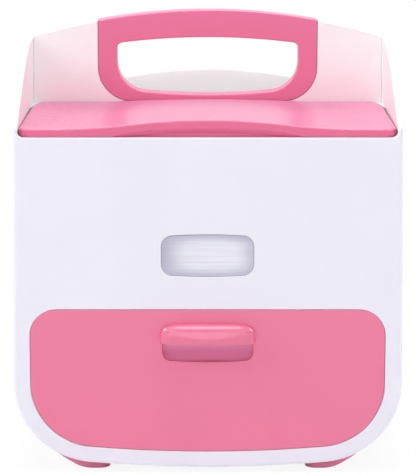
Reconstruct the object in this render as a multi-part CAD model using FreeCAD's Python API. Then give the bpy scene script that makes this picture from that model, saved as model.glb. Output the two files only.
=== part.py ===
# Diaper caddy: a moulded white housing with a hinged pink lid over an upper tub, a pink drawer below,
# a pocket for the changing mat behind an arched panel, and a pink carrying handle on that panel.
# Millimetres. X to the viewer's right, front towards -Y, Z up. Origin under the middle of the whole part,
# on the plane that the feet stand on.
import FreeCAD, Part
import math
import os

V = FreeCAD.Vector

# Housing
body_half_width = 150.0        # at shoulder_height, where the lower corner begins
shoulder_height = 72.0
side_draft = 0.8               # degrees that the side walls lean in
body_depth = 200.0             # front plane to rear plane
floor_clearance = 3.8          # lowest point of the housing above the table
floor_bow_radius = 1040.0
lower_corner_radius = 64.0
wall = 3.6
front_edge_radius = 3.0
rim_edge_radius = 1.2

# Upper edge of the housing, seen from the front and from the side
front_rim_height = 262.5
front_rim_corner_radius = 4.5
side_start_rise = 6.5          # front rim to the side wall's edge at the front plane
side_rise_run = 107.8          # front plane to where the straight rise would reach the crest
arch_height = 343.6            # crown of the panel and handle
arch_radius = 500.0
rear_arch_height = 290.7       # crown of the rear cover
rear_arch_radius = 384.0
shoulder_back = 7.3            # panel's rear face to the corner where the side edge drops
shoulder_drop_run = 24.2       # from that corner to where the drop would reach the rear level
shoulder_radius = 10.0
shoulder_foot_radius = 8.0

# Panel between the compartment and the mat pocket
panel_setback = 160.0          # front plane to panel face
panel_thickness = 3.2
panel_edge_radius = 2.4
panel_seam = 0.5               # gap all round the panel, and from the panel to what stands before it
panel_boss_radius = 4.0
panel_boss_length = 7.8
panel_boss_inset = 12.0        # boss centre from the inner side wall
panel_boss_low = 110.0         # height of the lower bosses
panel_boss_drop = 58.6         # arch crown to the upper bosses
panel_tab_thickness = 3.0
panel_tab_half_height = 8.0

# Rear cover
cover_thickness = 3.2
cover_gap = 0.4
cover_boss_radius = 5.0
cover_boss_length = 14.0
cover_boss_web = 4.0           # thickness of the web that joins a boss to the side wall
cover_boss_low = 60.0          # height of the lower bosses
cover_boss_low_inset = 15.0    # boss centre from the inner side wall
cover_boss_drop = 55.7         # crown of the cover to the upper bosses
cover_boss_high_inset = 7.2

# Handle
handle_half_width = 90.0
handle_height = 78.6           # arch crown to the lowest point of the handle
handle_corner_radius = 28.0
handle_depth = 18.5
handle_bow_radius = 540.0
handle_gap = 0.2
handle_side_band = 15.6        # handle outline to the hand opening
handle_lower_band = 9.1
handle_upper_band = 22.0
opening_top_bow_radius = 563.0
opening_lower_radius = 25.0
opening_upper_radius = 5.0
grip_skin = 2.6
grip_front_edge_radius = 1.0
grip_rear_edge_radius = 2.0
core_inset = 3.0               # core plate to the handle's top and to the hand opening
core_thickness = 2.8
grip_boss_radius = 3.2
grip_boss_drops = (22.6, 49.6)     # down from the arch crown
grip_pillar_wall = 1.2
grip_pillar_length = 3.0

# Window
window_half_width = 35.5
window_low = 155.2
window_high = 188.3
window_bow_radius = 420.0
window_corner_radius = 9.0
window_edge_radius = 0.7
pane_gap = 0.15
pane_recess = 0.6
pane_wall = 1.8
pane_frame = 2.4               # raised border round the pane
pane_frame_rise = 0.45
pane_flange = 4.0
pane_flange_thickness = 1.6

# Ledge that carries the tub, and that stops the drawer
ledge_drawer_gap = 1.0         # top of the drawer front to the ledge
ledge_reach = 8.0
ledge_thickness = 4.0
front_ledge_reach = 20.0

# Tub in the upper compartment
tub_side_gap = 1.9             # at the tub's rim
tub_front_gap = 0.6            # behind the flange of the pane
tub_hinge_gap = 3.9            # behind the tub, before the barrels of the hinge
tub_rim_drop = 5.5             # front rim to tub rim
tub_wall = 2.4
tub_corner_radius = 9.0
tub_floor_radius = 6.0
tub_shelf_gap = 1.6            # shelf behind the tub to the raised lid's rear edge
tub_shelf_thickness = 2.0

# Lid
lid_side_gap = 1.4             # at the front rim's height
lid_setback = 2.2              # front plane to lid front
lid_rear_gap = 1.3             # lid to panel
lid_seat_gap = 0.3
lid_end_thickness = 5.8        # of the lid beside the wave
lid_front_rise = 7.1           # crest of the wave at the front edge
lid_rear_rise = 2.1
lid_wave_half_width = 118.0
lid_skin = 2.6
lid_front_corner_radius = 9.5
lid_cant_length = 28.7         # the rear part of each side leans in
lid_cant_inset = 3.9
lid_cant_radius = 90.0
lid_rear_corner_radius = 8.0
lid_edge_radius = 1.4
scoop_height = 6.8
scoop_crest_half = 40.0
scoop_crest_radius = 700.0
scoop_shoulder_radius = 170.0
scoop_depth = 3.2
scoop_slope = 54.0             # degrees, the fall of the scoop's roof as it goes deeper
scoop_wall = 1.8
liner_thickness = 1.8
liner_side_inset = 1.1
liner_front_gap = 0.8
liner_overhang = 0.5           # behind the tub
liner_rear_radius = 3.0
seal_width = 3.0
seal_gap = 0.3
seal_side_inset = 1.4          # lid outline to seal
seal_corner_radius = 8.0

# Hinge of the lid
hinge_inset = 12.7             # lid's rear edge to hinge axis
hinge_rise = 2.0               # underside of the lid to hinge axis
pin_radius = 2.0
pin_length = 28.0
pin_chamfer = 0.4
pin_running_gap = 0.06
pin_fixed_gap = 0.02
pin_seat_depth = 2.3           # how far a pin goes into the side wall
barrel_radius = 3.6
barrel_length = 24.0
barrel_side_gap = 1.0          # barrel's end to the canted side of the lid
cheek_gap = 1.2                # lid to the cheeks that carry the pins
cheek_drop = 6.6               # hinge axis to the cheeks' lower face
cheek_rise = 2.8

# Drawer
drawer_margin = 14.2           # white border left at the sides of the drawer front
drawer_low_margin = 13.7
drawer_high = 129.0
drawer_upper_radius = 20.0
drawer_gap = 0.7
drawer_front_depth = 14.0
drawer_front_skin = 2.8
drawer_edge_radius = 1.0
mouth_edge_radius = 0.8        # of the housing's edge round the drawer
tray_inset = 3.6               # drawer front outline to tray outline
tray_boss_radius = 4.0
tray_screw_place = 100.0
tray_screw_heights = (60.0, 100.0)
tray_rear_gap = 10.0           # tray to panel
tray_wall = 2.4
tray_rim_drop = 17.0           # top of the drawer front to the tray's rim
tray_running_gap = 0.3
tray_side_gap = 0.5
stop_thickness = 3.0
stop_half_width = 12.0
stop_place = 80.0
stop_root = 20.0               # how far the stops run down the tray's rear wall
stop_clearance = 0.5
runner_place = 70.0
runner_width = 4.0
guide_height = 90.0
guide_thickness = 3.0
guide_front_gap = 1.0          # drawer front to the runners and guides

# Pull on the drawer
pull_half_width = 36.6
pull_drop = 10.0               # top of the drawer front to the hood's top
pull_height = 15.0
pull_reach = 9.5               # in front of the drawer at the middle
pull_end_reach = 4.5
pull_skin = 2.4
pull_upper_radius = 8.0
pull_edge_radius = 3.0
recess_side_inset = 1.7        # hood's side to the recess's side
recess_top_inset = 3.0
recess_height = 27.9
recess_lower_radius = 7.0
recess_upper_radius = 2.0
recess_bow_radius = 420.0
recess_depth = 9.5
recess_scoop_radius = 14.0     # of the recess's hollowed lower wall, seen from the side
recess_wall = 2.5
post_half_width = 2.5          # screw posts at both ends of the pull
post_half_height = 4.8
post_gap = 0.8
post_reach = 8.0               # drawer face to the pads that the posts meet
pad_thickness = 1.8

# Feet
foot_half_length = 15.0
foot_setback = 27.0            # from the front and rear planes to the foot centres
foot_inner_inset = 74.0        # from the housing's half width to the foot's inner end
foot_outer_inset = 29.0
foot_flat_inset = 52.0         # and to where the flat sole ends
foot_rise = 14.5               # height of the sloping sole at the outer end
foot_thickness = 8.0           # at the outer end, before the housing's curve is taken off
foot_outer_slant = 4.0
foot_edge_radius = 1.5
foot_sole_radius = 30.0
foot_plan_radius = 9.0
peg_inset = 58.0
peg_radius = 3.8
peg_gap = 0.2
peg_length = 7.0               # above the housing's floor
peg_base = 1.0                 # height above the table at which the peg leaves the foot's sole

# Screws
screw_radius = 1.3
screw_head_radius = 2.8
screw_head_height = 1.8
screw_head_gap = 0.3
screw_bite = 7.0

past = 20.0                    # how far a cutting tool runs on past what it cuts
lap = 1.0                      # how far a cut starts before a face, or a joined form runs into its neighbour
tiny = 0.001                   # closer than this, two places count as one
slack = 0.1                    # leeway for picking edges that a rounding has moved
straight = 1e-9                # an arc flatter than this is drawn as a line
sharp_turn = math.radians(5)   # faces that meet at less than this count as one smooth surface
upright_lean = 0.2             # rise of a face's normal below which it counts as upright
fitting_passes = 4             # repeats that bring a sloping side and a bowed edge together

front = pull_reach - (body_depth + pull_reach) / 2
rear = front + body_depth
panel_face = front + panel_setback
panel_back = panel_face + panel_thickness
panel_boss_end = panel_back + panel_boss_length
panel_tab_back = panel_boss_end + panel_tab_thickness
cover_face = rear - cover_thickness
above_all = arch_height + past

handle_low = arch_height - handle_height
handle_back = panel_face + handle_depth
opening_half_width = handle_half_width - handle_side_band
opening_low = handle_low + handle_lower_band
opening_high = arch_height - handle_upper_band
core_front = panel_face + grip_skin + handle_gap
core_back = core_front + core_thickness
grip_split = core_back + handle_gap
grip_boss_end = handle_back - grip_skin - grip_pillar_length
grip_screw_seat = handle_back - screw_head_height - lap

lid_front = front + lid_setback
lid_rear = panel_face - lid_rear_gap
lid_low = front_rim_height + lid_seat_gap
lid_end_height = lid_low + lid_end_thickness
hinge_y = lid_rear - hinge_inset
hinge_height = lid_low + hinge_rise

ledge_low = drawer_high + ledge_drawer_gap
ledge_top = ledge_low + ledge_thickness
tub_front = front + wall + pane_flange_thickness + tub_front_gap
tub_back = hinge_y - barrel_radius - tub_hinge_gap
tub_low = ledge_top
tub_rim = front_rim_height - tub_rim_drop
tub_shelf_top = hinge_height - hinge_inset - tub_shelf_gap

tray_front = front + drawer_front_depth
tray_back = panel_face - tray_rear_gap
tray_rim = drawer_high - tray_rim_drop
pull_high = drawer_high - pull_drop
pull_low = pull_high - pull_height
recess_half_width = pull_half_width - recess_side_inset
recess_high = pull_high - recess_top_inset
recess_low = recess_high - recess_height

foot_inner = body_half_width - foot_inner_inset
foot_outer = body_half_width - foot_outer_inset
foot_flat_outer = body_half_width - foot_flat_inset
peg_place = body_half_width - peg_inset


def half_width(height, inset=0.0):
    lean = math.tan(math.radians(side_draft))
    return body_half_width - inset - (height - shoulder_height) * lean


def arch_at(x, crown, radius):
    return crown - radius + math.sqrt(radius ** 2 - x ** 2)


def prism(edges, way):
    return Part.Face(Part.Wire(Part.__sortEdges__(edges))).extrude(way)


def arc_or_line(start, middle, end):
    if (middle - start).cross(end - start).Length < straight:
        return Part.makeLine(start, end)
    return Part.Arc(start, middle, end).toShape()


def corner_points(half, end, other_half, other_end, level, bow, radius):
    """Right-hand corner of an outline whose level edge lies below.

    Gives the tangent point on the level edge, the middle of the corner arc and the tangent point on the
    side, as (x, z) vectors.
    """
    foot = V(half, 0, end)
    if not radius:
        return foot, foot, foot
    way = V(other_half - half, 0, other_end - end)
    way.normalize()
    inward = V(-way.z, 0, way.x)
    if bow:
        centre = V(0, 0, level + bow)
        offset = foot + inward * radius - centre
        along = offset.dot(way)
        reach = -along - math.sqrt(along ** 2 - offset.Length ** 2 + (bow - radius) ** 2)
        arc_centre = foot + way * reach + inward * radius
        outward = arc_centre - centre
        outward.normalize()
        on_level = centre + outward * bow
    else:
        reach = (level + radius - end - inward.z * radius) / way.z
        arc_centre = foot + way * reach + inward * radius
        on_level = V(arc_centre.x, 0, level)
    on_side = foot + way * reach
    bisector = (on_level - arc_centre) + (on_side - arc_centre)
    bisector.normalize()
    return on_level, arc_centre + bisector * radius, on_side


def bowed_block(low_half, high_half, low, high, y0, y1, low_bow=None, high_bow=None,
                low_radius=0.0, high_radius=0.0):
    """Block drawn out along Y from a four-sided outline.

    low and high are the heights on the centre line. The lower edge rises and the upper edge falls
    towards the sides, each on its bow radius, or runs straight.
    """
    low_end = low
    high_end = high
    if low_bow:
        low_end = low + low_bow - math.sqrt(low_bow ** 2 - low_half ** 2)
    if high_bow:
        high_end = high - high_bow + math.sqrt(high_bow ** 2 - high_half ** 2)
    lower = corner_points(low_half, low_end, high_half, high_end, low, low_bow, low_radius)
    upper = corner_points(high_half, -high_end, low_half, -low_end, -high, high_bow, high_radius)
    upper = [V(p.x, 0, -p.z) for p in upper]
    shift = V(0, y0, 0)
    right = [p + shift for p in list(lower) + list(reversed(upper))]
    left = [V(-p.x, p.y, p.z) for p in right]
    edges = [arc_or_line(left[0], V(0, y0, low), right[0]),
             Part.makeLine(right[2], right[3]),
             arc_or_line(right[5], V(0, y0, high), left[5]),
             Part.makeLine(left[3], left[2])]
    if low_radius:
        edges += [Part.Arc(*right[0:3]).toShape(), Part.Arc(*left[0:3]).toShape()]
    if high_radius:
        edges += [Part.Arc(*right[3:6]).toShape(), Part.Arc(*left[3:6]).toShape()]
    return prism(edges, V(0, y1 - y0, 0))


def body_block(inset, y0, y1, low_inset=None, high=None, high_bow=None):
    """The housing's front outline, shrunk all round by an inset, from y0 to y1."""
    low = floor_clearance + (inset if low_inset is None else low_inset)
    high = above_all if high is None else high
    low_half = body_half_width - inset
    for _ in range(fitting_passes):
        low_end = low + floor_bow_radius - math.sqrt(floor_bow_radius ** 2 - low_half ** 2)
        low_half = half_width(low_end, inset)
    high_half = half_width(high, inset)
    if high_bow:
        for _ in range(fitting_passes):
            high_half = half_width(arch_at(high_half, high, high_bow), inset)
    return bowed_block(low_half, high_half, low, high, y0, y1, floor_bow_radius, high_bow,
                       lower_corner_radius - inset)


def rounded_edges(corners, place):
    """Edges of a closed outline with straight runs and tangent arcs.

    corners holds (u, v, radius), and place(u, v) gives the point in space.
    """
    count = len(corners)
    runs = []
    for i, (u, v, radius) in enumerate(corners):
        corner = V(u, v, 0)
        before = V(corners[i - 1][0], corners[i - 1][1], 0) - corner
        after = V(corners[(i + 1) % count][0], corners[(i + 1) % count][1], 0) - corner
        before.normalize()
        after.normalize()
        half_turn = before.getAngle(after) / 2
        reach = radius / math.tan(half_turn) if radius else 0.0
        inward = before + after
        depth = radius / math.sin(half_turn) - radius if radius else 0.0
        middle = corner
        if radius:
            inward.normalize()
            middle = corner + inward * depth
        runs.append((corner + before * reach, middle, corner + after * reach))
    edges = []
    for i, (start, middle, end) in enumerate(runs):
        if (end - start).Length > tiny:
            edges.append(Part.Arc(place(start.x, start.y), place(middle.x, middle.y),
                                  place(end.x, end.y)).toShape())
        following = runs[(i + 1) % count][0]
        if (following - end).Length > tiny:
            edges.append(Part.makeLine(place(end.x, end.y), place(following.x, following.y)))
    return edges


def plan_block(corners, z0, z1):
    """Upright block from a plan outline of (x, y, radius)."""
    return prism(rounded_edges(corners, lambda x, y: V(x, y, z0)), V(0, 0, z1 - z0))


def plan_box(half, y0, y1, z0, z1, front_radius=0.0, rear_radius=0.0):
    corners = [(-half, y0, front_radius), (half, y0, front_radius),
               (half, y1, rear_radius), (-half, y1, rear_radius)]
    return plan_block(corners, z0, z1)


def box(x0, x1, y0, y1, z0, z1):
    return Part.makeBox(x1 - x0, y1 - y0, z1 - z0, V(x0, y0, z0))


def rod(radius, start, way):
    return Part.makeCylinder(radius, way.Length, start, way)


def mirrored(shape):
    return shape.mirror(V(0, 0, 0), V(1, 0, 0))


def both_sides(shape):
    return [shape, mirrored(shape)]


def screws(seats):
    """Screws driven from behind. seats are the points under their heads."""
    solids = []
    for seat in seats:
        shank = rod(screw_radius, seat - V(0, screw_bite, 0), V(0, screw_bite, 0))
        head = rod(screw_head_radius, seat, V(0, screw_head_height, 0))
        solids.append(shank.fuse(head))
    return Part.makeCompound(solids)


def export(name, shape):
    shape = shape.removeSplitter() if shape.ShapeType != "Compound" or len(shape.Solids) == 1 else shape
    for solid in shape.Solids:
        if not solid.isValid():
            raise ValueError(name + " is not a valid solid")
    if not shape.Solids:
        raise ValueError(name + " has no solid")
    shape = shape.Solids[0] if len(shape.Solids) == 1 else Part.makeCompound(shape.Solids)
    shape.exportStep("parts/" + name + ".step")
    print(name, len(shape.Solids), "solid", round(shape.Volume), "mm3")


# Outlines that several pieces share

def arch_end(crown, radius):
    """Where an arch meets the inner face of the side wall, as (x, height)."""
    height = crown
    for _ in range(fitting_passes):
        x = half_width(height, wall)
        height = arch_at(x, crown, radius)
    return x, height


def side_profile_block():
    """The housing's outline seen from the side, as a block across the whole width."""
    crest = arch_end(arch_height, arch_radius)[1]
    rear_side = arch_end(rear_arch_height, rear_arch_radius)[1]
    side_start_height = front_rim_height + side_start_rise
    slope = math.atan((crest - side_start_height) / side_rise_run)
    slope_end = front + side_rise_run
    crest_radius = (panel_face - slope_end) / math.tan(slope / 2)
    drop_y = panel_back + shoulder_back
    drop_foot = drop_y + shoulder_drop_run
    corners = [(front - lap, -lap, 0.0),
               (front - lap, side_start_height - lap * math.tan(slope), 0.0),
               (slope_end, crest, crest_radius),
               (drop_y, crest, shoulder_radius),
               (drop_foot, rear_side, shoulder_foot_radius),
               (rear + lap, rear_side, 0.0),
               (rear + lap, -lap, 0.0)]
    side = body_half_width + past
    edges = rounded_edges(corners, lambda y, z: V(-side, y, z))
    return prism(edges, V(2 * side, 0, 0))


def drawer_block(inset, y0, y1, high=None, high_radius=None):
    """The drawer front's outline, shrunk by an inset; a negative inset enlarges it."""
    half = body_half_width - drawer_margin - inset
    low = floor_clearance + drawer_low_margin + inset
    high = drawer_high - inset if high is None else high
    bow = floor_bow_radius - inset
    lower = lower_corner_radius - drawer_margin - inset
    upper = drawer_upper_radius - inset if high_radius is None else high_radius
    return bowed_block(half, half, low, high, y0, y1, bow, None, lower, upper)


def window_block(inset, y0, y1):
    return bowed_block(window_half_width - inset, window_half_width - inset, window_low + inset,
                       window_high - inset, y0, y1, window_bow_radius, window_bow_radius,
                       window_corner_radius - inset, window_corner_radius - inset)


def handle_block(inset, y0, y1, top_inset=None):
    """The handle's outer outline under the arch, shrunk by an inset; a negative one enlarges it."""
    top_inset = inset if top_inset is None else top_inset
    half = handle_half_width - inset
    return bowed_block(half, half, handle_low + inset, arch_height - top_inset, y0, y1,
                       handle_bow_radius - inset, arch_radius - top_inset, handle_corner_radius - inset)


def opening_block(inset, y0, y1):
    """The hand opening, shrunk by an inset; a negative inset enlarges it."""
    half = opening_half_width - inset
    return bowed_block(half, half, opening_low + inset, opening_high - inset, y0, y1,
                       handle_bow_radius - inset, opening_top_bow_radius - inset,
                       opening_lower_radius - inset, opening_upper_radius - inset)


def lid_half_width():
    return half_width(front_rim_height, wall) - lid_side_gap


def lid_plan(inset, z0, z1):
    """The lid's outline from above; the rear part of each side leans in to pass the hinge cheeks."""
    half = lid_half_width() - inset
    rear_edge = lid_rear - inset
    cant_start = lid_rear - lid_cant_length
    corners = [(-half, lid_front + inset, lid_front_corner_radius - inset),
               (half, lid_front + inset, lid_front_corner_radius - inset),
               (half, cant_start, lid_cant_radius),
               (half - lid_cant_inset, rear_edge, lid_rear_corner_radius - inset),
               (-half + lid_cant_inset, rear_edge, lid_rear_corner_radius - inset),
               (-half, cant_start, lid_cant_radius)]
    return plan_block(corners, z0, z1)


def lid_wave_wire(y, low, sink):
    """Section of the lid across its width: level ends, and a wave made of a crest and two flanks.

    The wave's rise changes steadily from the front edge to the rear edge.
    """
    share = (y - lid_front) / (lid_rear - lid_front)
    rise = lid_front_rise + (lid_rear_rise - lid_front_rise) * share
    level = lid_end_height - sink
    wave = lid_wave_half_width
    radius = ((wave / 2) ** 2 + (rise / 2) ** 2) / rise
    half_angle = math.asin(wave / 2 / radius) / 2
    flank_x = wave - radius * math.sin(half_angle)
    flank_z = level + radius * (1 - math.cos(half_angle))
    side = lid_half_width() + past
    points = [V(-side, y, low), V(-side, y, level), V(-wave, y, level), V(-wave / 2, y, level + rise / 2),
              V(wave / 2, y, level + rise / 2), V(wave, y, level), V(side, y, level), V(side, y, low)]
    edges = [Part.makeLine(points[0], points[1]),
             Part.makeLine(points[1], points[2]),
             Part.Arc(points[2], V(-flank_x, y, flank_z), points[3]).toShape(),
             Part.Arc(points[3], V(0, y, level + rise), points[4]).toShape(),
             Part.Arc(points[4], V(flank_x, y, flank_z), points[5]).toShape(),
             Part.makeLine(points[5], points[6]),
             Part.makeLine(points[6], points[7]),
             Part.makeLine(points[7], points[0])]
    return Part.Wire(edges)


def lid_wave_block(low, sink):
    wires = [lid_wave_wire(lid_front - lap, low, sink), lid_wave_wire(lid_rear + lap, low, sink)]
    return Part.makeLoft(wires, True, True)


def scoop_wire(offset, y):
    """Outline of the finger scoop under the crest of the wave: a wide arc and two tangent shoulders.

    An offset enlarges it all round.
    """
    angle = math.asin(scoop_crest_half / scoop_crest_radius)
    crest_fall = scoop_crest_radius * (1 - math.cos(angle))
    end_angle = math.acos(math.cos(angle) - (scoop_height - crest_fall) / scoop_shoulder_radius)
    spread = scoop_crest_radius - scoop_shoulder_radius
    crest_centre = V(0, y, lid_low + scoop_height - scoop_crest_radius)
    shoulder_centre = crest_centre + V(spread * math.sin(angle), 0, spread * math.cos(angle))
    bottom = lid_low - past

    def on_arc(centre, radius, turn):
        return centre + V(math.sin(turn), 0, math.cos(turn)) * (radius + offset)

    crest = on_arc(crest_centre, scoop_crest_radius, 0.0)
    right = [on_arc(shoulder_centre, scoop_shoulder_radius, turn)
             for turn in (angle, (angle + end_angle) / 2, end_angle)]
    left = [V(-p.x, p.y, p.z) for p in right]
    return Part.Wire([Part.Arc(left[0], crest, right[0]).toShape(),
                      Part.Arc(*right).toShape(),
                      Part.makeLine(right[2], V(right[2].x, y, bottom)),
                      Part.makeLine(V(right[2].x, y, bottom), V(left[2].x, y, bottom)),
                      Part.makeLine(V(left[2].x, y, bottom), left[2]),
                      Part.Arc(left[2], left[1], left[0]).toShape()])


def scoop_block(offset, y0, y1):
    """The scoop as a form that gets lower as it goes deeper, so that its roof faces the fingertip."""
    fall = math.tan(math.radians(scoop_slope))
    wires = [scoop_wire(offset - (y - lid_front) * fall, y) for y in (y0, y1)]
    return Part.makeLoft(wires, True, True)


def lies_at(edge, y):
    return abs(edge.BoundBox.YMin - y) < slack and abs(edge.BoundBox.YMax - y) < slack


def edges_on(shape, test):
    return [edge for edge in shape.Edges if all(test(vertex.Point) for vertex in edge.Vertexes)]


def is_sharp(shape, edge):
    """True where the two faces beside an edge meet at an angle."""
    middle = edge.valueAt((edge.FirstParameter + edge.LastParameter) / 2)
    normals = []
    for face in shape.ancestorsOfType(edge, Part.Face):
        u, v = face.Surface.parameter(middle)
        normals.append(face.normalAt(u, v))
    return len(normals) == 2 and normals[0].getAngle(normals[1]) > sharp_turn


def edge_is_rim(shape, edge):
    """True where an edge joins an upright face to the top."""
    upright = 0
    for face in shape.ancestorsOfType(edge, Part.Face):
        u0, u1, v0, v1 = face.ParameterRange
        normal = face.normalAt((u0 + u1) / 2, (v0 + v1) / 2)
        if abs(normal.z) < upright_lean:
            upright += 1
    return upright == 1


# Screw places that two pieces share

def panel_boss_places():
    heights = (panel_boss_low, arch_height - panel_boss_drop)
    return [(half_width(z, wall) - panel_boss_inset, z) for z in heights]


def cover_boss_places():
    low = (half_width(cover_boss_low, wall) - cover_boss_low_inset, cover_boss_low)
    high = rear_arch_height - cover_boss_drop
    return [low, (half_width(high, wall) - cover_boss_high_inset, high)]


def grip_boss_places():
    x = handle_half_width - handle_side_band / 2
    return [(x, arch_height - drop) for drop in grip_boss_drops]


def tray_screw_places():
    return [(side * tray_screw_place, z) for side in (-1, 1) for z in tray_screw_heights]


def post_place():
    x = recess_half_width - post_gap - post_half_width
    return x, recess_high - post_gap - post_half_height


# Housing pieces

def housing_block():
    """The housing as a full block with its rounded front outline and its side profile."""
    outer = body_block(0.0, front, rear)
    outline = [edge for edge in edges_on(outer, lambda p: abs(p.y - front) < tiny)
               if edge.BoundBox.ZMin < above_all - lap]
    return outer.makeFillet(front_edge_radius, outline).common(side_profile_block())


def shell_walls():
    """The housing's walls with their openings and softened edges."""
    shell = housing_block().cut(body_block(wall, front + wall, rear + lap))
    mouth = bowed_block(half_width(front_rim_height, wall), half_width(above_all, wall), front_rim_height,
                        above_all, front - lap, front + wall + lap, None, None, front_rim_corner_radius)
    shell = shell.cut(mouth)
    shell = shell.makeFillet(rim_edge_radius, rim_edges(shell))
    shell = shell.cut(drawer_block(-drawer_gap, front - lap, front + wall + lap))
    mouth_edges = [edge for edge in edges_on(shell, lambda p: abs(p.y - front) < tiny)
                   if edge.BoundBox.ZMin > floor_clearance + lap and edge.BoundBox.ZMax < ledge_low]
    shell = shell.makeFillet(mouth_edge_radius, mouth_edges)
    shell = shell.cut(window_block(0.0, front - lap, front + wall + lap))
    window_edges = [edge for edge in edges_on(shell, lambda p: abs(p.y - front) < tiny)
                    if edge.BoundBox.ZMin > ledge_top and edge.BoundBox.ZMax < front_rim_height - lap
                    and edge.BoundBox.XMax < window_half_width + lap]
    return shell.makeFillet(window_edge_radius, window_edges)


def rim_edges(shell):
    """Sharp edges along the upper rim, apart from those on the rear plane and inside the front wall."""
    return [edge for edge in shell.Edges
            if edge.BoundBox.ZMin > front_rim_height - slack and edge.BoundBox.YMin < rear - slack
            and not lies_at(edge, front + wall) and is_sharp(shell, edge)]


def ledges():
    """Ledges inside the walls for the tub; the front one also stops the drawer."""
    side_start = half_width(ledge_top, wall) - ledge_reach
    side = box(side_start, body_half_width, front + lap, panel_face - panel_seam, ledge_low, ledge_top)
    across = box(-side_start - lap, side_start + lap, front + lap, front + wall + front_ledge_reach, ledge_low,
                 ledge_top)
    return both_sides(side) + [across]


def drawer_runners():
    """Ribs under the drawer, and guides beside its tray."""
    start = tray_front + guide_front_gap
    end = panel_face - panel_seam
    beside = drawer_block(tray_inset - tray_side_gap, front, panel_face, drawer_high, 0.0)
    under = drawer_block(tray_inset - tray_running_gap, front, panel_face, drawer_high, 0.0)
    runner = box(runner_place - runner_width / 2, runner_place + runner_width / 2, start, end, 0.0,
                 drawer_high / 2).cut(under)
    guide = box(0.0, body_half_width, start, end, guide_height, guide_height + guide_thickness).cut(beside)
    return both_sides(runner) + both_sides(guide)


def hinge_cheeks():
    """Blocks beside the canted rear part of the lid, which carry the hinge pins."""
    inner = lid_half_width() - lid_cant_inset - past
    low = hinge_height - cheek_drop
    high = hinge_height + cheek_rise
    cheek = box(inner, body_half_width, lid_rear - lid_cant_length, panel_face - panel_seam, low, high)
    return both_sides(cheek.cut(lid_plan(-cheek_gap, low - lap, high + lap)))


def panel_tabs():
    """Ears on the side walls that the panel's bosses are screwed to."""
    tabs = []
    for x, z in panel_boss_places():
        tab = box(x, body_half_width, panel_boss_end, panel_tab_back, z - panel_tab_half_height,
                  z + panel_tab_half_height)
        tip = rod(panel_tab_half_height, V(x, panel_boss_end, z), V(0, panel_tab_thickness, 0))
        hole = rod(screw_radius + screw_head_gap, V(x, panel_boss_end - lap, z), V(0, past, 0))
        tabs += both_sides(tab.fuse(tip).cut(hole))
    return tabs


def cover_bosses():
    bosses = []
    for x, z in cover_boss_places():
        start = cover_face - cover_boss_length
        boss = rod(cover_boss_radius, V(x, start, z), V(0, cover_boss_length, 0))
        web = box(x, body_half_width, start, cover_face, z - cover_boss_web / 2, z + cover_boss_web / 2)
        hole = rod(screw_radius, V(x, rear - screw_head_height - screw_bite, z), V(0, past, 0))
        bosses += both_sides(boss.fuse(web).cut(hole))
    return bosses


def outer_shell():
    whole = housing_block()
    added = ledges() + drawer_runners() + hinge_cheeks() + panel_tabs() + cover_bosses()
    shell = shell_walls().multiFuse([piece.common(whole) for piece in added])
    for side in (-1, 1):
        pin_end = V(side * (half_width(hinge_height, wall) + pin_seat_depth), hinge_y, hinge_height)
        shell = shell.cut(rod(pin_radius + pin_fixed_gap, pin_end, V(-side * past, 0, 0)))
        for y in (front + foot_setback, rear - foot_setback):
            shell = shell.cut(rod(peg_radius + peg_gap, V(side * peg_place, y, 0), V(0, 0, past)))
    return shell


def rear_cover():
    cover = body_block(wall + cover_gap, cover_face, rear, wall + cover_gap, rear_arch_height,
                       rear_arch_radius)
    cover = cover.makeFillet(rim_edge_radius, edges_on(cover, lambda p: abs(p.y - rear) < tiny))
    for x, z in cover_boss_places():
        for side in (-1, 1):
            cover = cover.cut(screw_hole(V(side * x, rear - screw_head_height, z), cover_thickness))
    return cover


def screw_hole(seat, depth):
    """Clearance for a screw driven from behind, whose head sits at seat and whose shank goes through depth."""
    through = rod(screw_radius + screw_head_gap, seat - V(0, depth, 0), V(0, depth + lap, 0))
    return through.fuse(rod(screw_head_radius + screw_head_gap, seat, V(0, past, 0)))


def cover_screws():
    return screws([V(side * x, rear - screw_head_height, z) for x, z in cover_boss_places()
                   for side in (-1, 1)])


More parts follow.
